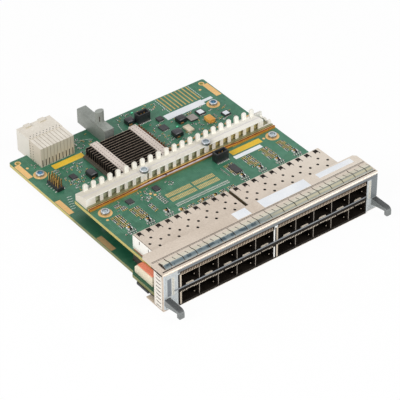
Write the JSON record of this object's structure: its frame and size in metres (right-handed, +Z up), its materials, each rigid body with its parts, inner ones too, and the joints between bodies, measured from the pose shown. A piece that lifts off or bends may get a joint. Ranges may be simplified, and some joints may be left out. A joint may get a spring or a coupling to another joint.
{
  "type": "interface module",
  "caption": "Plug-in interface module: folded faceplate with pull handles, stacked transceiver cages on a carrier board, and a main board with heat sink, comb bar and rear connector.",
  "frame": {"origin": "bottom centre of the whole module, level with the faceplate's bottom flange", "axes": "+X along the faceplate to the right when facing the ports, +Y from the ports to the rear connector, +Z up"},
  "size_m": [0.168, 0.203, 0.0299],
  "materials": {
    "tin_sheet": "tin-plated sheet, satin",
    "spring_metal": "bright spring strip",
    "front_film": "printed film, satin",
    "label_bar": "printed strip, satin",
    "grey_handle": "moulded, fine grain",
    "green_board": "solder mask over glass laminate, satin",
    "screw_metal": "nickel-plated",
    "comb_plastic": "moulded, satin",
    "gold_plate": "gold-plated",
    "beige_connector": "moulded, matt",
    "guide_casting": "moulded, matt grey",
    "black_aluminium": "black anodised",
    "clip_strip": "matt-coated spring strap",
    "black_plastic": "moulded, matt",
    "orange_cap": "moulded, satin",
    "chip_plastic": "moulded epoxy, matt",
    "thermal_pad": "soft pad",
    "oscillator_can": "plated lid, satin",
    "tantalum": "moulded, gloss",
    "ceramic": "fired ceramic"
  },
  "bodies": {
    "root": {"faceplate": "tin_sheet", "upper_left_cage_cover": "tin_sheet", "upper_right_cage_cover": "tin_sheet", "lower_left_cage_cover": "tin_sheet", "lower_right_cage_cover": "tin_sheet", "upper_left_cage_floor": "tin_sheet", "upper_right_cage_floor": "tin_sheet", "lower_left_cage_floor": "tin_sheet", "lower_right_cage_floor": "tin_sheet", "upper_dividers": "tin_sheet", "lower_dividers": "tin_sheet", "upper_fingers": "spring_metal", "lower_fingers": "spring_metal", "top_gasket": "spring_metal", "left_gasket": "spring_metal", "right_gasket": "spring_metal", "front_film": "front_film", "port_label_bar": "label_bar", "left_handle": "grey_handle", "right_handle": "grey_handle", "upper_board": "green_board", "main_board": "green_board", "handle_screws": "screw_metal", "ear_screws": "screw_metal", "upper_board_screws": "screw_metal", "standoff_screws": "screw_metal", "rear_screws": "screw_metal", "comb_screws": "screw_metal", "rear_nuts": "screw_metal", "standoffs": "screw_metal", "comb_bar": "comb_plastic", "stiffener": "gold_plate", "pin_header_pins": "gold_plate", "box_header_pins": "gold_plate", "rear_connector_housing": "beige_connector", "rear_connector_wafers": "beige_connector", "side_connector": "beige_connector", "guide_block": "guide_casting", "heat_sink": "black_aluminium", "heat_sink_clips": "clip_strip", "mezzanine_plugs": "black_plastic", "mezzanine_sockets": "black_plastic", "upper_host_connectors": "black_plastic", "lower_host_connectors": "black_plastic", "main_box_header": "black_plastic", "upper_box_header": "black_plastic", "pin_header_base": "black_plastic", "inductors": "black_plastic", "left_edge_rail": "black_plastic", "right_edge_rail": "black_plastic", "side_connector_cap": "orange_cap", "processor": "chip_plastic", "main_chips": "chip_plastic", "upper_chips": "chip_plastic", "thermal_pad": "thermal_pad", "oscillator": "oscillator_can", "tantalum_capacitor": "tantalum", "upper_passives": "ceramic", "main_passives": "ceramic"}
  },
  "joints": []
}
